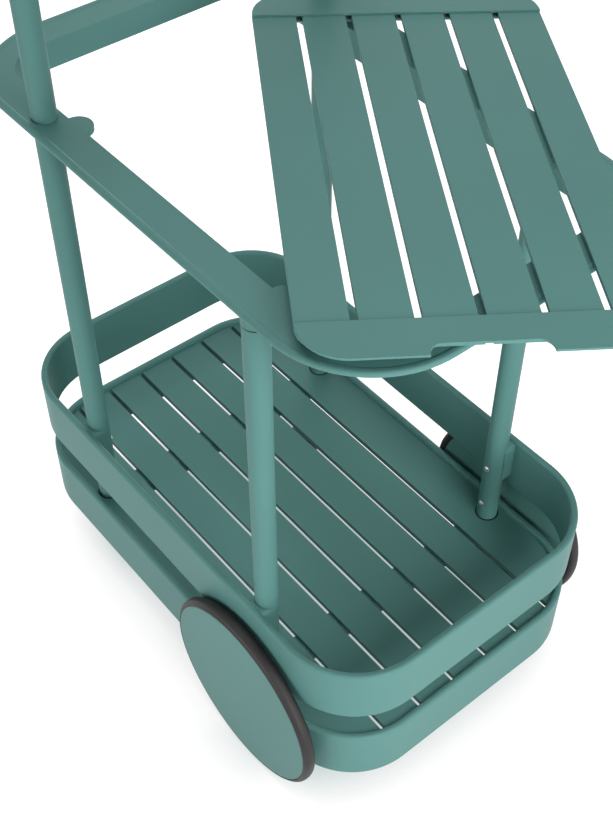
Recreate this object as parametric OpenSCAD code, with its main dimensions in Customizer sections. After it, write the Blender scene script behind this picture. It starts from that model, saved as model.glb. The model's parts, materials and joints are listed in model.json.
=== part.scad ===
// Serving trolley: a slatted basket on two wheels and two feet, a top frame and a loose slatted tray
// The wheel end is +X, the push handle is at -X, and left is +Y

/* [Basket] */
// Outside length of both bands
band_l = 705; // [650:5:760]
// Outside width of both bands
band_w = 434; // [410:2:460]
// Outside corner radius of the bands
band_r = 102; // [80:1:120]
// Wall of the bands
band_wall = 9; // [7:0.5:10]
// Height of each band
band_h = 86; // [76:1:94]
// Open gap between the two bands
band_gap = 49; // [43:1:60]
// How far the floor lies below the rim of the lower band
floor_in = 8; // [4:1:12]

/* [Floor] */
// Thickness of the floor slats
floor_t = 8; // [6:0.5:9]
// Width of one inner slat
slat_w = 50; // [46:1:52]
// Gap between the floor slats
slat_gap = 6; // [4:0.5:7]

/* [Tubes] */
// Outside diameter of the posts, legs and handle, and width of the square cross tubes
tube_d = 28; // [26:1:30]
// Wall of the tubes
tube_wall = 2; // [1.5:0.5:3]
// Post axes from the ends of the bands
post_in = 172.5; // [160:0.5:185]
// Gap between the posts and the inside of the bands
post_gap = 4; // [3:0.5:6]
// Legs from the rear posts' axes, towards the middle
leg_in = 36; // [34:1:44]
// Height of the handle bar's axis
handle_z = 945; // [900:5:980]
// Radius of the handle's two bends
bend_r = 45; // [35:1:60]

/* [Wheels] */
// Outside diameter of the tyres
wheel_d = 264; // [240:2:280]
// Width of the tyre that shows round the flat cover
tyre_rim = 7; // [6:0.5:9]
// Gap between the bands and the tyres
tyre_gap = 4; // [3:0.5:6]
// Width of the tyres
tyre_w = 15.5; // [14:0.5:18]
// Diameter of the axle
axle_d = 12; // [10:0.5:14]

/* [Top frame] */
// How far the top frame stays inside the ends of the bands
top_in = 4; // [0:1:12]
// Post axes from the sides of the top frame
top_over = 25.5; // [25.5:0.5:30]
// Outside corner radius of the top frame
top_r = 116; // [100:1:130]
// Top of the frame's rim
top_z = 768; // [720:1:800]
// Corner radius of the opening and of the tray that fits it
opening_r = 45; // [40:1:50]
// Height of the skirt around the opening
skirt_h = 34; // [28:1:40]
// Thickness of the strip
strip_t = 5; // [4:0.5:6]

/* [Tray] */
// Clearance between the stowed tray and the opening at each end
tray_end_gap = 3; // [2:0.5:5]
// Clearance between the stowed tray and the opening at each side
tray_side_gap = 5.5; // [3:0.5:7]
// Length of each end border
border_l = 47; // [46:1:52]
// Thickness of the tray's slats
tray_slat_t = 4.5; // [4:0.5:6]
// Thickness of the borders, which lie on the slats' ends
border_t = 2.5; // [2:0.5:3]
// Gap between the tray's slats
tray_gap = 7; // [5:0.5:9]
// Width of the hand grip cut into each end
grip_w = 108; // [96:1:116]
// Depth of the hand grips
grip_d = 14; // [10:1:16]
// Depth of the battens under the tray's ends
batten_t = 6; // [5:0.5:8]

/* [Tray as it lies] */
// Gap between the tray's far end and the rear left post
lean_gap = 0.7; // [0.4:0.1:2]
// How far to the right of the tray's middle line that post stands
lean_at = 77.9; // [74:0.1:84]
// Turn of the tray from the frame's length
tray_turn = -33.6; // [-34:0.1:-33]

/* [Hidden] */

left = 1;
right = -1;
front = 1;
rear = -1;
near = 1;
far = -1;

// Small gap where a round piece meets its seat, and the radial gap of a running fit
seat_gap = 0.05;
run_gap = 0.05;
arc_fn = 96;
small_fn = 32;

// Tubes
tube_r = tube_d / 2;
tube_in_r = tube_r - tube_wall;
post_x = band_l / 2 - post_in;
post_y = band_w / 2 - band_wall - post_gap - tube_r;
leg_y = post_y - leg_in;
foot_r = 26;
foot_h = 26;
foot_edge = 2;
foot_neck_h = 10;
foot_neck_r = tube_r + foot_edge;
plug_l = 24;
post_below_axle = 20;
line_h = 1;
line_depth = 0.7;

// Wheels
axle_z = wheel_d / 2;
axle_r = axle_d / 2;
cover_t = 3;
cover_proud = 1.5;
cover_edge_r = 1;
cover_r = axle_z - tyre_rim;
cover_ledge = 5;
tyre_in_y = band_w / 2 + tyre_gap;
tyre_out_y = tyre_in_y + tyre_w;
cover_y = tyre_out_y + cover_proud;
core_inset = 1.5;
core_out_y = cover_y - cover_t;
core_in_y = tyre_in_y + core_inset;
core_r = cover_r - cover_ledge;
boss_r = axle_r + 10;
boss_gap = 0.3;
nut_r = axle_r + 4;
nut_t = 5;
nut_recess_r = nut_r + 2;
nut_recess_floor = 1.6;
nut_recess_y = core_out_y - nut_t - nut_recess_floor;
axle_end_y = core_out_y - 1;
tyre_edge_r = 4;

// Floor, which lies on the two cross tubes
floor_under = axle_z + tube_r;
floor_z = floor_under + floor_t;
cross_end = tube_r / 2;
post_end_z = axle_z - post_below_axle;
slat_pitch = slat_w + slat_gap;
floor_clear = 0.25;
outer_slat_y = 2.5 * slat_pitch + slat_gap / 2;
post_hole_r = tube_r + 1.4;

// Bands
lower_band_z = floor_z + floor_in - band_h;
upper_band_z = lower_band_z + band_h + band_gap;
band_in_x = band_l / 2 - band_wall;
band_in_y = band_w / 2 - band_wall;
band_in_r = band_r - band_wall;
rim_flat = 1;
rim_r = (band_wall - rim_flat) / 2;

// Saddles and screws
saddle_w = tube_d + 3;
saddle_r = 8;
saddle_end = 17;
saddle_top = 4;
saddle_floor_gap = 2;
lower_saddle_h = floor_under - saddle_floor_gap - post_end_z;
screw_r = 2;
head_r = 4.4;
head_h = 2.4;
head_rim = 0.8;
dome_h = head_h - head_rim;
dome_r = (head_r * head_r + dome_h * dome_h) / (2 * dome_h);
key_r = 1.5;
key_depth = 1.2;
tip_gap = 0.2;
short_screw = 8;
joint_screw_up = 29;
joint_screw_z = floor_z + joint_screw_up;
band_screw_z = upper_band_z + band_h / 2;
screw_bite = 4;

// Top frame
bead_w = 9;
bead_h = 8;
bead_r = 3.9;
plate_drop = 1.2;
skirt_t = 3;
sleeve_r = tube_r + 0.7;
front_sleeve_h = 26;
rear_sleeve_h = 12;
sleeve_gap = 0.8;
through_gap = 0.5;
strip_w = top_over + sleeve_r + sleeve_gap + skirt_t;
strip_under = top_z - plate_drop - strip_t;
top_l = band_l - 2 * top_in;
top_w = 2 * (post_y + top_over);
opening_x = top_l / 2 - strip_w;
opening_y = top_w / 2 - strip_w;

// Tray rests under the stowed tray, ahead of the front and the rear posts
rest_r = 17;
rest_t = 6;
rest_z = top_z - plate_drop;
front_rest_ahead = 19;
rear_rest_ahead = 35;

// Tray
tray_l = 2 * (opening_x - tray_end_gap);
tray_w = 2 * (opening_y - tray_side_gap);
tray_r = opening_r;
tray_slats = 6;
tray_slat_w = (tray_w - (tray_slats - 1) * tray_gap) / tray_slats;
border_x = tray_l / 2 - border_l;
end_cover = 3;
slat_end_in = grip_d + end_cover;
tray_edge_r = 0.8;
batten_in = 4;
batten_l = border_l - slat_end_in;
batten_bevel = 8;
batten_end = 17;
batten_w = tray_w - 2 * batten_end;
grip_r = 12;

// The tray's middle, from the post that its far end leans against
lean_l = tray_l / 2 + lean_gap + tube_r;
tray_x = -post_x + lean_l * cos(tray_turn) - lean_at * sin(tray_turn);
tray_y = post_y + lean_l * sin(tray_turn) + lean_at * cos(tray_turn);

// The tray bears on the rim with an edge of each batten and with its left side. In its own plan, u along the
// slats and v across them, these three places give the slopes of its underside and its height over the rim.
rest_gap = 0.1;
bear_x = top_l / 2 - bead_r;
bear_y = top_w / 2 - bead_r;
batten_u = border_x - batten_in + batten_bevel;
near_v = (tray_x + batten_u * cos(tray_turn) - bear_x) / sin(tray_turn);
far_v = (bear_y - tray_y + batten_u * sin(tray_turn)) / cos(tray_turn);
side_v = tray_w / 2;
side_u = (bear_y - tray_y - side_v * cos(tray_turn)) / sin(tray_turn);
skew = (near_v - far_v) / (2 * batten_u);
slope_v = batten_t / (side_v - near_v + (batten_u - side_u) * skew);
slope_u = slope_v * skew;
tray_rise = batten_t + near_v * slope_v - batten_u * slope_u + rest_gap;
tray_tip = atan(slope_v);
tray_pitch = atan(slope_u);

// Middle of the whole footprint, which the frame's origin stands on
corner_x = tray_l / 2 - tray_r;
corner_y = tray_w / 2 - tray_r;
reach_x = tray_x + corner_x * cos(tray_turn) - corner_y * sin(tray_turn) + tray_r;
reach_y = tray_y - corner_x * sin(tray_turn) + corner_y * cos(tray_turn) + tray_r;
mid_x = (reach_x - band_l / 2) / 2;
mid_y = (reach_y - cover_y) / 2;

module piece(tint) {
    color(tint) translate([-mid_x, -mid_y, 0]) children();
}

module green() {
    piece("#5f8f87") children();
}

module steel() {
    piece("#b9b4b0") children();
}

module black() {
    piece("#3a3638") children();
}

// A rectangle with round corners, its lower left corner at the origin
module round_rect(w, h, r) {
    union() {
        translate([r, 0]) square([w - 2 * r, h]);
        translate([0, r]) square([w, h - 2 * r]);
        for (x = [r, w - r], y = [r, h - r]) translate([x, y]) circle(r = r, $fn = small_fn);
    }
}

// A rounded rectangle about the middle, with its corners as true arcs
module round_plan(hx, hy, r) {
    union() {
        square([2 * (hx - r), 2 * hy], center = true);
        square([2 * hx, 2 * (hy - r)], center = true);
        for (x = [-1, 1], y = [-1, 1]) translate([x * (hx - r), y * (hy - r)]) circle(r = r, $fn = arc_fn);
    }
}

// Runs the outline given as a child round a rounded rectangle, its own x = 0 on the outer face
module run_round(hx, hy, r) {
    for (k = [0:3]) {
        a = k % 2 == 0 ? hx : hy;
        b = k % 2 == 0 ? hy : hx;
        rotate([0, 0, 90 * k]) {
            translate([a, b - r, 0]) rotate([90, 0, 0]) linear_extrude(2 * (b - r)) children();
            translate([a - r, b - r, 0]) rotate_extrude(angle = 90, $fn = arc_fn)
                translate([r, 0]) children();
        }
    }
}

module at_post(end, side) {
    translate([end * post_x, side * post_y, 0]) children();
}

// Turns a shape drawn for the left, with the outside at +Y, to the given side
module outward(side) {
    mirror([0, side == right ? 1 : 0, 0]) children();
}

module post_bore(z0, h, gap) {
    translate([0, 0, z0]) cylinder(r = tube_r + gap, h = h, $fn = arc_fn);
}

// A cylinder along Y from y0 to y1
module y_rod(r, y0, y1) {
    translate([0, y1, 0]) rotate([90, 0, 0]) cylinder(r = r, h = y1 - y0, $fn = arc_fn);
}

// A rail on edge with rounded rims
module band(z) {
    translate([0, 0, z]) run_round(band_l / 2, band_w / 2, band_r)
        translate([-band_wall, 0]) round_rect(band_wall, band_h, rim_r);
}

module upper_band() {
    green() difference() {
        band(upper_band_z);
        for (end = [front, rear], side = [left, right]) at_post(end, side) outward(side)
            translate([0, 0, band_screw_z]) y_rod(screw_r + seat_gap, 0, band_in_y - post_y + screw_bite);
    }
}

module lower_band() {
    green() difference() {
        band(lower_band_z);
        translate([post_x, 0, axle_z]) y_rod(axle_r + run_gap, -band_w, band_w);
    }
}

module floor_plan() {
    round_plan(band_in_x - floor_clear, band_in_y - floor_clear, band_in_r - floor_clear);
}

// Inner slats are straight strips, and the outermost two follow the band's corners
module floor_slat(n) {
    outer = n == 1 || n == 7;
    y = (n - 4) * slat_pitch;
    y0 = n == 1 ? -band_w / 2 : n == 7 ? outer_slat_y : y - slat_w / 2;
    w = outer ? band_w / 2 - outer_slat_y : slat_w;
    green() translate([0, 0, floor_under]) difference() {
        linear_extrude(floor_t) intersection() {
            floor_plan();
            translate([-band_l / 2, y0]) square([band_l, w]);
        }
        for (end = [front, rear], side = [left, right]) at_post(end, side)
            translate([0, 0, -1]) cylinder(r = post_hole_r, h = floor_t + 2, $fn = arc_fn);
    }
}

// A square tube between two posts, its ends coped round them
module cross_tube(end) {
    reach = post_y - cross_end;
    green() translate([end * post_x, 0, 0]) difference() {
        translate([-tube_r, -reach, floor_under - tube_d]) cube([tube_d, 2 * reach, tube_d]);
        translate([-tube_in_r, -reach - 1, floor_under - tube_d + tube_wall])
            cube([2 * tube_in_r, 2 * reach + 2, 2 * tube_in_r]);
        for (side = [left, right]) translate([0, side * post_y, 0]) post_bore(0, top_z, seat_gap);
    }
}

module axle() {
    steel() translate([post_x, 0, axle_z]) y_rod(axle_r, -axle_end_y, axle_end_y);
}

module axle_nut(side) {
    steel() translate([post_x, 0, axle_z]) outward(side) difference() {
        translate([0, nut_recess_y + nut_t + boss_gap, 0]) rotate([90, 0, 0])
            cylinder(r = nut_r, h = nut_t, $fn = 6);
        y_rod(axle_r + seat_gap, nut_recess_y - 1, core_out_y + 1);
    }
}

module tube(z0, z1) {
    difference() {
        translate([0, 0, z0]) cylinder(r = tube_r, h = z1 - z0, $fn = arc_fn);
        translate([0, 0, z0 - 1]) cylinder(r = tube_in_r, h = z1 - z0 + 2, $fn = arc_fn);
    }
}

module post_screw_holes(side) {
    outward(side) {
        translate([0, 0, band_screw_z]) y_rod(screw_r + seat_gap, -tube_d, tube_d);
        translate([0, 0, joint_screw_z]) y_rod(screw_r + seat_gap, -tube_d, 0);
    }
}

// A thin line runs round each front post under its sleeve
module front_post(side) {
    green() at_post(front, side) difference() {
        tube(post_end_z, strip_under);
        post_screw_holes(side);
        translate([0, 0, axle_z]) y_rod(axle_r + run_gap, -tube_d, tube_d);
        translate([0, 0, strip_under - front_sleeve_h - line_h]) difference() {
            cylinder(r = tube_d, h = line_h, $fn = arc_fn);
            translate([0, 0, -1]) cylinder(r = tube_r - line_depth, h = line_h + 2, $fn = arc_fn);
        }
    }
}

module rear_post(side) {
    green() at_post(rear, side) difference() {
        tube(post_end_z, handle_z - bend_r);
        post_screw_holes(side);
    }
}

// The bar and its two bends, which drop into the rear posts
module push_handle() {
    green() translate([-post_x, 0, 0]) difference() {
        handle_rod(tube_r);
        handle_rod(tube_in_r);
    }
}

module handle_rod(r) {
    bar_y = post_y - bend_r;
    translate([0, 0, handle_z]) y_rod(r, -bar_y, bar_y);
    for (side = [left, right]) outward(side)
        translate([0, bar_y, handle_z - bend_r]) rotate([90, 0, 90])
            rotate_extrude(angle = 90, $fn = arc_fn) translate([bend_r, 0]) circle(r = r, $fn = arc_fn);
}

// The legs stand under the rear cross tube, inside the posts
module at_leg(side) {
    translate([-post_x, side * leg_y, 0]) children();
}

module leg(side) {
    green() at_leg(side) tube(foot_h, floor_under - tube_d);
}

// A broad foot with a neck, and a plug up into the leg
module foot(side) {
    body_h = foot_h - foot_neck_h;
    black() at_leg(side) {
        cylinder(r1 = foot_r - foot_edge, r2 = foot_r, h = foot_edge, $fn = arc_fn);
        translate([0, 0, foot_edge]) cylinder(r = foot_r, h = body_h - foot_edge, $fn = arc_fn);
        translate([0, 0, body_h]) cylinder(r1 = foot_r, r2 = foot_neck_r, h = foot_neck_h, $fn = arc_fn);
        translate([0, 0, foot_h]) cylinder(r = tube_in_r - seat_gap, h = plug_l, $fn = arc_fn);
    }
}

// A block that fills the space between a post and the inside of a band
module saddle_block(side, z, h) {
    reach = band_in_y - post_y;
    outward(side) difference() {
        translate([-saddle_w / 2, reach, z]) rotate([90, 0, 0])
            linear_extrude(reach) round_rect(saddle_w, h, saddle_r);
        post_bore(z - 1, h + 2, seat_gap);
    }
}

module upper_saddle(end, side) {
    green() at_post(end, side) difference() {
        saddle_block(side, upper_band_z + saddle_end, band_h - saddle_end - saddle_top);
        translate([0, 0, band_screw_z]) y_rod(screw_r + seat_gap, -tube_d, tube_d);
    }
}

module lower_saddle(end, side) {
    green() at_post(end, side) difference() {
        saddle_block(side, post_end_z, lower_saddle_h);
        if (end == front) translate([0, 0, axle_z]) y_rod(axle_r + run_gap, -tube_d, tube_d);
    }
}

// The domed head stands on the side of the post that faces the middle
module screw(z, reach) {
    translate([0, 0, z]) {
        y_rod(screw_r, -tube_r, reach);
        translate([0, -tube_r, 0]) rotate([90, 0, 0]) screw_head();
    }
}

module screw_head() {
    difference() {
        intersection() {
            cylinder(r = head_r, h = head_h + 1, $fn = arc_fn);
            translate([0, 0, head_h - dome_r]) sphere(r = dome_r, $fn = arc_fn);
        }
        translate([0, 0, head_h - key_depth]) cylinder(r = key_r, h = key_depth + 1, $fn = 6);
    }
}

module screws(end, side) {
    steel() at_post(end, side) outward(side) {
        screw(band_screw_z, band_in_y - post_y + screw_bite - tip_gap);
        screw(joint_screw_z, short_screw - tube_r);
    }
}

// A flat strip with a rounded bead at its outer edge and a skirt down round the opening
module top_frame() {
    green() {
        difference() {
            translate([0, 0, strip_under]) linear_extrude(strip_t) difference() {
                round_plan(top_l / 2 - bead_w / 2, top_w / 2 - bead_w / 2, top_r - bead_w / 2);
                round_plan(opening_x, opening_y, opening_r);
            }
            for (side = [left, right]) at_post(rear, side) post_bore(strip_under - 1, strip_t + 2, through_gap);
        }
        translate([0, 0, top_z - bead_h]) run_round(top_l / 2, top_w / 2, top_r)
            translate([-bead_w, 0]) round_rect(bead_w, bead_h, bead_r);
        translate([0, 0, top_z - plate_drop - skirt_h]) linear_extrude(skirt_h - strip_t) difference() {
            round_plan(opening_x + skirt_t, opening_y + skirt_t, opening_r + skirt_t);
            round_plan(opening_x, opening_y, opening_r);
        }
    }
}

// The strip stands on a sleeve round each post. The rear ones are short collars.
module sleeve(end, side) {
    h = end == front ? front_sleeve_h : rear_sleeve_h;
    green() at_post(end, side) translate([0, 0, strip_under - h]) difference() {
        cylinder(r = sleeve_r, h = h, $fn = arc_fn);
        translate([0, 0, -1]) cylinder(r = tube_r + seat_gap, h = h + 2, $fn = arc_fn);
    }
}

// A half-round ledge on the skirt that the tray sits on when it is stowed
module rest(end, side) {
    x = end * post_x + (end == front ? front_rest_ahead : rear_rest_ahead);
    green() outward(side) translate([x, opening_y, rest_z - rest_t]) intersection() {
        cylinder(r = rest_r, h = rest_t, $fn = arc_fn);
        translate([-rest_r, -rest_r, 0]) cube([2 * rest_r, rest_r, rest_t]);
    }
}

module at_wheel(side) {
    translate([post_x, 0, axle_z]) outward(side) children();
}

module wheel_core(side) {
    green() at_wheel(side) difference() {
        union() {
            y_rod(core_r, core_in_y, core_out_y);
            y_rod(boss_r, band_w / 2 + boss_gap, core_in_y);
        }
        y_rod(axle_r + run_gap, 0, cover_y);
        y_rod(nut_recess_r, nut_recess_y, cover_y);
    }
}

// A flat disc with a rounded outer edge
module wheel_cover(side) {
    green() at_wheel(side) translate([0, cover_y, 0]) rotate([90, 0, 0]) rotate_extrude($fn = 2 * arc_fn)
        intersection() {
            translate([-cover_r, 0]) round_rect(2 * cover_r, cover_t + 2 * cover_edge_r, cover_edge_r);
            square([cover_r + 1, cover_t]);
        }
}

// The tyre's outline is turned about the axle, with a step for the edge of the cover
module tyre(side) {
    r = axle_z;
    r_in = core_r + seat_gap;
    black() at_wheel(side) translate([0, tyre_out_y, 0]) rotate([90, 0, 0]) rotate_extrude($fn = 2 * arc_fn)
        difference() {
            translate([r_in - tyre_edge_r, 0]) round_rect(r - r_in + tyre_edge_r, tyre_w, tyre_edge_r);
            translate([r_in - 2 * tyre_edge_r, -1]) square([2 * tyre_edge_r, tyre_w + 2]);
            translate([core_r, -1]) square([cover_r + seat_gap - core_r, tyre_out_y - core_out_y + 1]);
        }
}

// The tray lies turned across the top frame; its own X runs along the slats and Z = 0 is their underside
module lie() {
    translate([tray_x, tray_y, top_z + tray_rise]) rotate([0, 0, tray_turn])
        rotate([-tray_tip, -tray_pitch, 0]) children();
}

// The slats run on under the borders and follow the tray's round corners there
module tray_slat(n) {
    y = (n - (tray_slats + 1) / 2) * (tray_slat_w + tray_gap);
    green() lie() intersection() {
        translate([-tray_l / 2, y - tray_slat_w / 2, 0]) rotate([90, 0, 90])
            linear_extrude(tray_l) round_rect(tray_slat_w, tray_slat_t, tray_edge_r);
        translate([0, 0, -1]) linear_extrude(tray_slat_t + 2)
            round_plan(tray_l / 2 - slat_end_in, tray_w / 2, tray_r - slat_end_in);
    }
}

// A thin plate that lies on the slats' ends, with the hand grip cut into it
module tray_border(end) {
    green() lie() mirror([end < 0 ? 1 : 0, 0, 0]) translate([0, 0, tray_slat_t])
        linear_extrude(border_t) difference() {
            intersection() {
                round_plan(tray_l / 2, tray_w / 2, tray_r);
                translate([border_x, -tray_w / 2]) square([border_l, tray_w]);
            }
            grip_outline();
        }
}

// A shallow cut with round inner corners, open at the tray's end
module grip_outline() {
    x = tray_l / 2;
    translate([x - grip_d, -grip_w / 2]) round_rect(2 * grip_d, grip_w, grip_r);
}

// A strip with bevelled sides that ties the slats together under the border
module tray_batten(end) {
    green() lie() mirror([end < 0 ? 1 : 0, 0, 0])
        translate([border_x - batten_in, batten_w / 2, 0]) rotate([90, 0, 0])
            linear_extrude(batten_w) polygon([[0, 0], [batten_bevel, -batten_t],
                [batten_l - batten_bevel, -batten_t], [batten_l, 0]]);
}

upper_band();
lower_band();
floor_slat(1);  // floor_slat_1
floor_slat(2);  // floor_slat_2
floor_slat(3);  // floor_slat_3
floor_slat(4);  // floor_slat_4
floor_slat(5);  // floor_slat_5
floor_slat(6);  // floor_slat_6
floor_slat(7);  // floor_slat_7
cross_tube(front);  // front_cross_tube
cross_tube(rear);  // rear_cross_tube
axle();
axle_nut(left);  // left_axle_nut
axle_nut(right);  // right_axle_nut
front_post(left);  // front_left_post
front_post(right);  // front_right_post
rear_post(left);  // rear_left_post
rear_post(right);  // rear_right_post
push_handle();
leg(left);  // left_leg
leg(right);  // right_leg
foot(left);  // left_foot
foot(right);  // right_foot
upper_saddle(front, left);  // front_left_upper_saddle
upper_saddle(front, right);  // front_right_upper_saddle
upper_saddle(rear, left);  // rear_left_upper_saddle
upper_saddle(rear, right);  // rear_right_upper_saddle
lower_saddle(front, left);  // front_left_lower_saddle
lower_saddle(front, right);  // front_right_lower_saddle
lower_saddle(rear, left);  // rear_left_lower_saddle
lower_saddle(rear, right);  // rear_right_lower_saddle
screws(front, left);  // front_left_screws
screws(front, right);  // front_right_screws
screws(rear, left);  // rear_left_screws
screws(rear, right);  // rear_right_screws
top_frame();
sleeve(front, left);  // front_left_sleeve
sleeve(front, right);  // front_right_sleeve
sleeve(rear, left);  // rear_left_sleeve
sleeve(rear, right);  // rear_right_sleeve
rest(front, left);  // front_left_rest
rest(front, right);  // front_right_rest
rest(rear, left);  // rear_left_rest
rest(rear, right);  // rear_right_rest
wheel_core(left);  // left_wheel_core
wheel_cover(left);  // left_wheel_cover
tyre(left);  // left_tyre
wheel_core(right);  // right_wheel_core
wheel_cover(right);  // right_wheel_cover
tyre(right);  // right_tyre
tray_slat(1);  // tray_slat_1
tray_slat(2);  // tray_slat_2
tray_slat(3);  // tray_slat_3
tray_slat(4);  // tray_slat_4
tray_slat(5);  // tray_slat_5
tray_slat(6);  // tray_slat_6
tray_border(near);  // tray_near_border
tray_border(far);  // tray_far_border
tray_batten(near);  // tray_near_batten
tray_batten(far);  // tray_far_batten
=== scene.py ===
import json
import math

import bmesh
import bpy
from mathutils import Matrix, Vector


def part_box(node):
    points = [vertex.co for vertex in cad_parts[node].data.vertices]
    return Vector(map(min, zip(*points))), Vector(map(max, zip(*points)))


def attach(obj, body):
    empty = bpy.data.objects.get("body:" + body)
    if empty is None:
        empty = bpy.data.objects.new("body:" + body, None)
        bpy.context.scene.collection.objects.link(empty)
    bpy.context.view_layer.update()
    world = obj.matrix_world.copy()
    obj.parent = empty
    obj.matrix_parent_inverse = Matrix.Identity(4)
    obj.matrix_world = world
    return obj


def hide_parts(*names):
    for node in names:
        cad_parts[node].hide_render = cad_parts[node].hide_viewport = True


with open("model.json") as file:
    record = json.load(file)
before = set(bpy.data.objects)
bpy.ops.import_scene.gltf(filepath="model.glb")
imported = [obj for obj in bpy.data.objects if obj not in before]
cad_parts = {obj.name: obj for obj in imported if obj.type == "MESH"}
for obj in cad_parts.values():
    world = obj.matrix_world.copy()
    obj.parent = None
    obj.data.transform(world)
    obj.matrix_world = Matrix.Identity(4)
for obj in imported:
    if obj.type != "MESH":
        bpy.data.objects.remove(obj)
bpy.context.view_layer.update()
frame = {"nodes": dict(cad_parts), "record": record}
nodes = frame["nodes"]

MM = 0.001

# The basket's middle on the floor, from which the camera and the lights are placed
band_low, band_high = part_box("upper_band")
MIDDLE = Vector(((band_low.x + band_high.x) / 2, (band_low.y + band_high.y) / 2, 0))

# Camera, where the photograph was taken from
CAMERA_AT = Vector((0.8759, -0.6982, 1.5381))
CAMERA_TILT = math.radians(43.11)
CAMERA_TURN = math.radians(50.76)
LENS_MM = 56.55
FILM_MM = 36.0
CLIP_NEAR = 0.05
CLIP_FAR = 50.0

# Linear colours of the finishes, and the share of the coat's colour kept by the dark rings that
# paint the shade in the clearances round the posts
COAT = (0.110, 0.266, 0.247)
STEEL = (0.62, 0.61, 0.60)
RUBBER = (0.014, 0.012, 0.012)
PLASTIC = (0.020, 0.019, 0.019)
PAINTED_SHADE_SHARE = 0.08

# The coat's roughness and how far it strays from that, and the specular levels of the coat and of
# the black finishes
COAT_ROUGHNESS = 0.46
ROUGHNESS_STRAY = 0.05
COAT_SPECULAR = 0.13
DULL_SPECULAR = 0.34

# The middle of a noise's range, which is spread over the range that a finish asks for
NOISE_LOW = 0.3
NOISE_HIGH = 0.7

# Light: the tent's strength, each soft box as its place from the basket's middle and its size in
# metres and its power in watts, and the height that they are aimed at
TENT = 0.01
SOFT_BOXES = {
    "top": ((-0.5, 0.2, 3.0), (2.2, 2.2), 19.0),
    "top_back": ((-1.0, 0.2, 2.6), (2.0, 2.0), 14.5),
    "front_key": ((1.4, -0.1, 1.25), (1.0, 0.8), 13.8),
    "front_low": ((1.4, -0.3, 0.35), (0.7, 0.4), 7.6),
    "side": ((-0.1, -1.8, 0.5), (1.8, 0.8), 16.5),
    "back_fill": ((-1.5, 1.3, 0.7), (1.4, 0.8), 13.0),
}
AIM_HEIGHT = 0.4

# The floor as it is seen: its glow where the trolley closes it in, a painted shadow, and in the
# open, how far the trolley reaches, the painted shade's tint and the openness at which it has
# faded to white, and the share of the lamps' light that it adds. Then the light that it sends back
# to the trolley
FLOOR_HALF = 6.0
PAINTED_SHADOW_GLOW = 0.30
OPEN_GLOW = 1.16
PAINTED_SHADOW_REACH = 0.25
PAINTED_SHADE_TINT = (0.68, 0.98, 0.96)
PAINTED_TINT_LIMIT = 0.6
FLOOR_SHARE = 0.2
FLOOR_BOUNCE = 0.5

# Rounding of the sharp edges of CAD nodes, and the words in the names of those that have it
INNER_SLATS = ["floor_slat_%d" % n for n in range(2, 7)]
SLAT_ROUND = 0.8 * MM
ROUNDED_KINDS = ("saddle", "border", "batten", "rest")
KIND_ROUND = 0.6 * MM
SHARP_ANGLE = math.radians(35)
WELD_REACH = 0.01 * MM

# Steps round a turned piece
RING_STEPS = 96

# Tyre: its play on the wheel's core and round the cover, how far its lip's face lies behind the
# cover's, the lip's depth, and the chamfer and the flat at its back
SEAT_PLAY = 0.05 * MM
RIM_PLAY = 0.08 * MM
LIP_SINK = 0.3 * MM
LIP_DEPTH = 2.7 * MM
BACK_CHAMFER = 0.8 * MM
BACK_FLAT = 1.4 * MM

# The lip's outline, in mm out from the cover's rim and along from the lip's face
LIP = [(0, -0.4), (0.3, 0), (1.8, 0), (2.3, -0.4)]

# The tyre's crown, a rounded box across its width: how far it swells, the share of the width that
# it takes, the depth and the power of its rounding, and its steps
CROWN_SWELL = 0.25 * MM
CROWN_SHARE = 0.95
CROWN_DEPTH = 8 * MM
CROWN_POWER = 2.6
CROWN_STEPS = 16

# Outlines of the dark rings that paint the shade in the clearances round a post, in mm out from
# its surface and up from the sleeve's lower end or the floor's top
SLEEVE_SHADE_OUTLINE = [(-0.6, -0.9), (0.05, -0.9), (0.05, -2.0), (0.2, -2.0), (0.2, -0.1), (-0.6, -0.1)]
FLOOR_SHADE_OUTLINE = [(-0.4, -0.6), (1.3, -0.6), (1.3, -0.1), (2.1, -0.1), (2.1, 0.07), (-0.4, 0.07)]


def add_node(tree, kind, **values):
    """A node with its properties set by name."""
    node = tree.nodes.new(kind)
    for key, value in values.items():
        setattr(node, key, value)
    return node


def new_material(name):
    """A material with its Principled shader and object coordinates, ready for nodes."""
    material = bpy.data.materials.new(name)
    material.use_nodes = True
    tree = material.node_tree
    shader = tree.nodes["Principled BSDF"]
    place = add_node(tree, "ShaderNodeTexCoord").outputs["Object"]
    return material, tree, shader, place


def noise(tree, place, scale, detail=2.0, roughness=0.5):
    """A noise texture on object coordinates, with its scale in cycles a metre."""
    node = add_node(tree, "ShaderNodeTexNoise")
    node.inputs["Scale"].default_value = scale
    node.inputs["Detail"].default_value = detail
    node.inputs["Roughness"].default_value = roughness
    tree.links.new(place, node.inputs["Vector"])
    return node.outputs["Fac"]


def spread(tree, value, low, high):
    """Maps the middle of a noise's range to low and high."""
    node = add_node(tree, "ShaderNodeMapRange")
    node.inputs["From Min"].default_value = NOISE_LOW
    node.inputs["From Max"].default_value = NOISE_HIGH
    node.inputs["To Min"].default_value = low
    node.inputs["To Max"].default_value = high
    tree.links.new(value, node.inputs["Value"])
    return node.outputs["Result"]


def tinted(tree, shader, colour, share):
    """Multiplies a colour by a share that varies over the surface and feeds it to the shader."""
    node = add_node(tree, "ShaderNodeVectorMath", operation="SCALE")
    node.inputs[0].default_value = colour
    tree.links.new(share, node.inputs["Scale"])
    tree.links.new(node.outputs["Vector"], shader.inputs["Base Color"])


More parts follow.
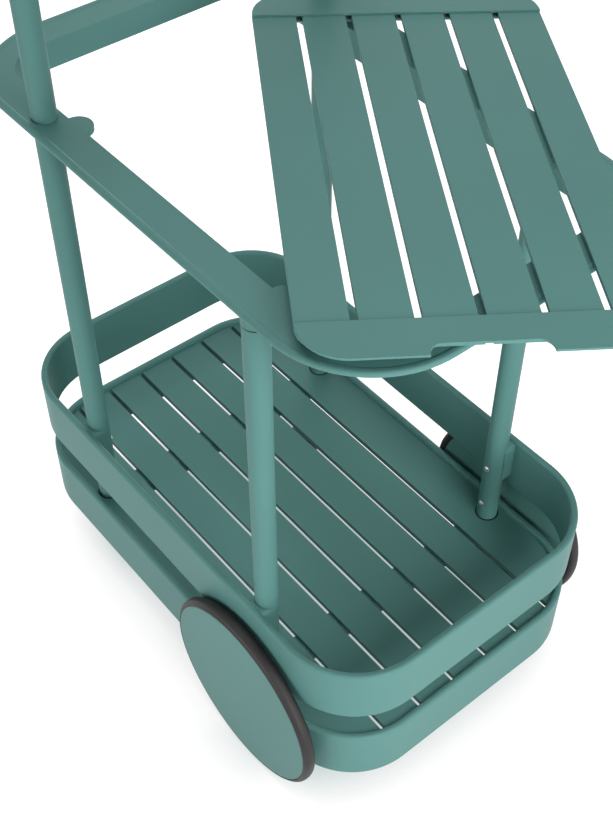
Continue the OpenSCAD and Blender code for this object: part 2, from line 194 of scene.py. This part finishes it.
def bump(tree, height, distance, strength, under=None):
    """A bump of a distance in metres, on top of the one under it, if any."""
    node = add_node(tree, "ShaderNodeBump")
    node.inputs["Distance"].default_value = distance
    node.inputs["Strength"].default_value = strength
    tree.links.new(height, node.inputs["Height"])
    if under is not None:
        tree.links.new(under, node.inputs["Normal"])
    return node.outputs["Normal"]


def powder_coat(name="powder_coat", share=1.0):
    """Matt powder coat: a fine orange peel, a finer grain and a faint drift of tone."""
    material, tree, shader, place = new_material(name)
    shader.inputs["Specular IOR Level"].default_value = COAT_SPECULAR
    drift = noise(tree, place, scale=4.0)
    grain = noise(tree, place, scale=2600.0)
    peel = noise(tree, place, scale=420.0, detail=3.0, roughness=0.6)
    tone = add_node(tree, "ShaderNodeMath", operation="MULTIPLY")
    tree.links.new(spread(tree, drift, low=0.97, high=1.03), tone.inputs[0])
    tree.links.new(spread(tree, grain, low=0.955, high=1.045), tone.inputs[1])
    # A share below one darkens the coat into the copy that paints the shade round the posts
    tinted(tree, shader, tuple(c * share for c in COAT), tone.outputs["Value"])
    low, high = COAT_ROUGHNESS - ROUGHNESS_STRAY, COAT_ROUGHNESS + ROUGHNESS_STRAY
    tree.links.new(spread(tree, peel, low, high), shader.inputs["Roughness"])
    peeled = bump(tree, peel, distance=0.00005, strength=0.3)
    grained = bump(tree, grain, distance=0.00002, strength=0.3, under=peeled)
    tree.links.new(grained, shader.inputs["Normal"])
    return material


def brushed_steel():
    """Plain steel with fine turning marks."""
    material, tree, shader, place = new_material("brushed_steel")
    shader.inputs["Metallic"].default_value = 1.0
    marks = noise(tree, place, scale=1800.0, detail=4.0, roughness=0.7)
    tinted(tree, shader, STEEL, spread(tree, marks, low=0.9, high=1.08))
    tree.links.new(spread(tree, marks, low=0.28, high=0.42), shader.inputs["Roughness"])
    tree.links.new(bump(tree, marks, distance=0.00004, strength=0.4), shader.inputs["Normal"])
    return material


def rubber():
    """Dull black rubber with a moulded grain and a little dust."""
    material, tree, shader, place = new_material("rubber")
    shader.inputs["Specular IOR Level"].default_value = DULL_SPECULAR
    dust = noise(tree, place, scale=30.0, detail=5.0, roughness=0.6)
    grain = noise(tree, place, scale=1500.0, detail=3.0, roughness=0.6)
    tinted(tree, shader, RUBBER, spread(tree, dust, low=0.85, high=1.2))
    tree.links.new(spread(tree, dust, low=0.46, high=0.6), shader.inputs["Roughness"])
    tree.links.new(bump(tree, grain, distance=0.00012, strength=0.45), shader.inputs["Normal"])
    return material


def black_plastic():
    """Moulded plastic with a spark-eroded grain."""
    material, tree, shader, place = new_material("black_plastic")
    shader.inputs["Specular IOR Level"].default_value = DULL_SPECULAR
    grain = noise(tree, place, scale=1900.0, detail=3.0, roughness=0.55)
    tinted(tree, shader, PLASTIC, spread(tree, grain, low=0.9, high=1.1))
    tree.links.new(spread(tree, grain, low=0.48, high=0.6), shader.inputs["Roughness"])
    tree.links.new(bump(tree, grain, distance=0.0001, strength=0.4), shader.inputs["Normal"])
    return material


def finish_nodes():
    """Gives each CAD node the finish of its material slot."""
    finishes = {
        "coat": powder_coat(),
        "steel": brushed_steel(),
        "tyre": rubber(),
        "foot": black_plastic(),
    }
    for row in frame["record"]["subparts"]:
        slots = nodes[row["node"]].data.materials
        slots.clear()
        slots.append(finishes[row["material_slot"]])
    return finishes


def soften(node, width):
    """Rounds the sharp edges of a CAD node with modifiers, which leave its own mesh as it is."""
    weld = node.modifiers.new("weld", "WELD")
    weld.merge_threshold = WELD_REACH
    bevel = node.modifiers.new("round", "BEVEL")
    bevel.width = width
    bevel.segments = 2
    bevel.limit_method = "ANGLE"
    bevel.angle_limit = SHARP_ANGLE
    bevel.harden_normals = True
    bevel.use_clamp_overlap = True


def turned(name, profile, centre, side=None):
    """A ring turned from a closed profile of (radius, along) about Z, or about Y if a side is
    given, with 1 or -1 for the way along Y that the profile runs."""
    points, faces = [], []
    for i in range(RING_STEPS):
        angle = 2 * math.pi * i / RING_STEPS
        for radius, along in profile:
            across = (radius * math.cos(angle), radius * math.sin(angle))
            if side is None:
                points.append((across[0], across[1], along))
            else:
                points.append((across[0], side * along, across[1]))
    rows = len(profile)
    for i in range(RING_STEPS):
        a, b = i * rows, ((i + 1) % RING_STEPS) * rows
        for k in range(rows):
            faces.append((a + k, b + k, b + (k + 1) % rows, a + (k + 1) % rows))
    mesh = bpy.data.meshes.new(name)
    mesh.from_pydata([centre + Vector(p) for p in points], [], faces)
    form = bmesh.new()
    form.from_mesh(mesh)
    bmesh.ops.recalc_face_normals(form, faces=form.faces)
    form.to_mesh(mesh)
    form.free()
    mesh.shade_smooth()
    piece = bpy.data.objects.new(name, mesh)
    bpy.context.scene.collection.objects.link(piece)
    return piece


def tyres(finish):
    """Tyres with a round crown and a lip that stands up round the edge of the wheel's cover."""
    for side, sign in (("left", 1), ("right", -1)):
        low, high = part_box(side + "_tyre")
        core_low, core_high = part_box(side + "_wheel_core")
        cover_low, cover_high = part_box(side + "_wheel_cover")
        centre = Vector(((low.x + high.x) / 2, 0, (low.z + high.z) / 2))
        crown = (high.z - low.z) / 2
        seat = (core_high.x - core_low.x) / 2 + SEAT_PLAY
        rim = (cover_high.x - cover_low.x) / 2 + RIM_PLAY
        inner, outer = sorted((abs(low.y), abs(high.y)))
        face = max(abs(cover_low.y), abs(cover_high.y)) - LIP_SINK
        step = face - LIP_DEPTH
        profile = [(seat, inner + BACK_CHAMFER), (seat, step), (rim, step)]
        profile += [(rim + out * MM, face + along * MM) for out, along in LIP]
        middle = (inner + outer) / 2 + CROWN_SWELL
        half = (outer - inner) / 2 + CROWN_SWELL
        for k in range(CROWN_STEPS + 1):
            along = CROWN_SHARE * (1 - 2 * k / CROWN_STEPS)
            bulge = (1 - abs(along) ** CROWN_POWER) ** (1 / CROWN_POWER)
            profile.append((crown - CROWN_DEPTH * (1 - bulge), middle + half * along))
        profile += [(rim + BACK_FLAT, inner), (seat + BACK_CHAMFER, inner)]
        tyre = turned(side + "_round_tyre", profile, centre, sign)
        tyre.data.materials.append(finish)
        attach(tyre, side + "_wheel")
        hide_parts(side + "_tyre")


def painted_shade_ring(name, outline, radius, centre, finish):
    """A dark ring round a post that paints the shade in its clearance, with its outline in mm from
    the post's surface and the centre.
    """
    ring = turned(name, [(radius + out * MM, up * MM) for out, up in outline], centre)
    ring.data.materials.append(finish)
    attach(ring, "frame")


def paint_sleeve_shade(finish):
    """The dark line under the sleeve of each front post: a ring that paints the shade below the
    sleeve's lower end.
    """
    for side in ("left", "right"):
        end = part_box("front_%s_sleeve" % side)[0].z
        post_low, post_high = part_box("front_%s_post" % side)
        radius = (post_high.x - post_low.x) / 2
        centre = Vector(((post_low.x + post_high.x) / 2, (post_low.y + post_high.y) / 2, end))
        painted_shade_ring("front_%s_sleeve_line" % side, SLEEVE_SHADE_OUTLINE, radius, centre, finish)


def paint_floor_shade(finish):
    """A dark ring round each post where it passes through the floor, which paints the shade in the
    clearance and on the floor's top next to it.
    """
    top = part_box("floor_slat_1")[1].z
    post_low, post_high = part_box("front_left_post")
    radius = (post_high.x - post_low.x) / 2
    for name in ("front_left", "front_right", "rear_left", "rear_right"):
        low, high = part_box(name + "_sleeve")
        centre = Vector(((low.x + high.x) / 2, (low.y + high.y) / 2, top))
        painted_shade_ring(name + "_floor_painted_shade", FLOOR_SHADE_OUTLINE, radius, centre, finish)


def background_switch(tree, lighting, seen):
    """Shows one shader to the camera, in gloss and through glass, and lights with the other."""
    mix = add_node(tree, "ShaderNodeMixShader")
    path = add_node(tree, "ShaderNodeLightPath")
    rays = path.outputs["Is Camera Ray"]
    for kind in ("Is Glossy Ray", "Is Transmission Ray"):
        either = add_node(tree, "ShaderNodeMath", operation="MAXIMUM")
        tree.links.new(rays, either.inputs[0])
        tree.links.new(path.outputs[kind], either.inputs[1])
        rays = either.outputs["Value"]
    tree.links.new(rays, mix.inputs["Fac"])
    tree.links.new(lighting, mix.inputs[1])
    tree.links.new(seen, mix.inputs[2])
    return mix.outputs["Shader"]


def studio_world():
    """A faint even light tent that shows as white."""
    world = bpy.data.worlds.new("tent")
    world.use_nodes = True
    bpy.context.scene.world = world
    tree = world.node_tree
    tree.nodes.clear()
    out = add_node(tree, "ShaderNodeOutputWorld")
    lit = add_node(tree, "ShaderNodeBackground")
    lit.inputs["Color"].default_value = (1, 1, 1, 1)
    lit.inputs["Strength"].default_value = TENT
    seen = add_node(tree, "ShaderNodeBackground")
    seen.inputs["Color"].default_value = (1, 1, 1, 1)
    seen.inputs["Strength"].default_value = 1.0
    shown = background_switch(tree, lit.outputs[0], seen.outputs[0])
    tree.links.new(shown, out.inputs["Surface"])


def soft_box(name, place, size, power):
    """An area light at a place from the basket's middle, aimed at the trolley."""
    data = bpy.data.lights.new(name, "AREA")
    data.shape = "RECTANGLE"
    data.size, data.size_y = size
    data.energy = power
    light = bpy.data.objects.new(name, data)
    bpy.context.scene.collection.objects.link(light)
    light.location = MIDDLE + Vector(place)
    aim = MIDDLE + Vector((0, 0, AIM_HEIGHT)) - light.location
    light.rotation_euler = aim.to_track_quat("-Z", "Y").to_euler()


def floor_paper():
    """Paper that shows as white in the open, with the lamps' shadow and a painted shadow near the
    trolley.
    """
    material = bpy.data.materials.new("paper")
    material.use_nodes = True
    tree = material.node_tree
    tree.nodes.clear()
    out = add_node(tree, "ShaderNodeOutputMaterial")
    bounce = add_node(tree, "ShaderNodeBsdfDiffuse")
    bounce.inputs["Color"].default_value = (FLOOR_BOUNCE,) * 3 + (1,)
    share = add_node(tree, "ShaderNodeBsdfDiffuse")
    share.inputs["Color"].default_value = (FLOOR_SHARE,) * 3 + (1,)
    # Painted shadow: the glow dims and takes a green tint where the trolley closes the floor in
    painted_shadow_mask = add_node(tree, "ShaderNodeAmbientOcclusion")
    painted_shadow_mask.inputs["Distance"].default_value = PAINTED_SHADOW_REACH
    painted_shadow_strength = add_node(tree, "ShaderNodeMapRange")
    painted_shadow_strength.inputs["To Min"].default_value = PAINTED_SHADOW_GLOW
    painted_shadow_strength.inputs["To Max"].default_value = OPEN_GLOW
    tree.links.new(painted_shadow_mask.outputs["AO"], painted_shadow_strength.inputs["Value"])
    painted_shade_tint_mix = add_node(tree, "ShaderNodeMix", data_type="RGBA")
    painted_shade_tint_mix.inputs["A"].default_value = PAINTED_SHADE_TINT + (1,)
    painted_shade_tint_mix.inputs["B"].default_value = (1, 1, 1, 1)
    painted_tint_fade = add_node(tree, "ShaderNodeMapRange")
    painted_tint_fade.inputs["From Max"].default_value = PAINTED_TINT_LIMIT
    tree.links.new(painted_shadow_mask.outputs["AO"], painted_tint_fade.inputs["Value"])
    tree.links.new(painted_tint_fade.outputs["Result"], painted_shade_tint_mix.inputs["Factor"])
    glow_and_painted_shadow = add_node(tree, "ShaderNodeEmission")
    tree.links.new(painted_shade_tint_mix.outputs["Result"], glow_and_painted_shadow.inputs["Color"])
    tree.links.new(painted_shadow_strength.outputs["Result"], glow_and_painted_shadow.inputs["Strength"])
    seen = add_node(tree, "ShaderNodeAddShader")
    tree.links.new(share.outputs[0], seen.inputs[0])
    tree.links.new(glow_and_painted_shadow.outputs[0], seen.inputs[1])
    shown = background_switch(tree, bounce.outputs[0], seen.outputs[0])
    tree.links.new(shown, out.inputs["Surface"])
    return material


def studio_floor():
    """A wide floor of white paper."""
    half = FLOOR_HALF
    mesh = bpy.data.meshes.new("floor")
    corners = [(-half, -half, 0), (half, -half, 0), (half, half, 0), (-half, half, 0)]
    mesh.from_pydata(corners, [], [(0, 1, 2, 3)])
    floor = bpy.data.objects.new("floor", mesh)
    floor.location = MIDDLE
    bpy.context.scene.collection.objects.link(floor)
    mesh.materials.append(floor_paper())


def camera():
    """The photograph's camera. The film's long side is the picture's height."""
    data = bpy.data.cameras.new("camera")
    data.lens = LENS_MM
    data.sensor_width = FILM_MM
    data.clip_start = CLIP_NEAR
    data.clip_end = CLIP_FAR
    eye = bpy.data.objects.new("camera", data)
    eye.location = MIDDLE + CAMERA_AT
    eye.rotation_euler = (CAMERA_TILT, 0, CAMERA_TURN)
    bpy.context.scene.collection.objects.link(eye)
    bpy.context.scene.camera = eye


camera()
studio_world()
studio_floor()
for name, (place, size, power) in SOFT_BOXES.items():
    soft_box(name, place, size, power)
finishes = finish_nodes()
tyres(finishes["tyre"])
# A darkened copy of the coat, for the rings that paint the shade round the posts
painted_shade_coat = powder_coat("coat_shadow", PAINTED_SHADE_SHARE)
paint_sleeve_shade(painted_shade_coat)
paint_floor_shade(painted_shade_coat)
for name, node in nodes.items():
    if name in INNER_SLATS:
        soften(node, SLAT_ROUND)
    elif any(kind in name for kind in ROUNDED_KINDS):
        soften(node, KIND_ROUND)

bpy.context.scene.view_settings.view_transform = "Standard"
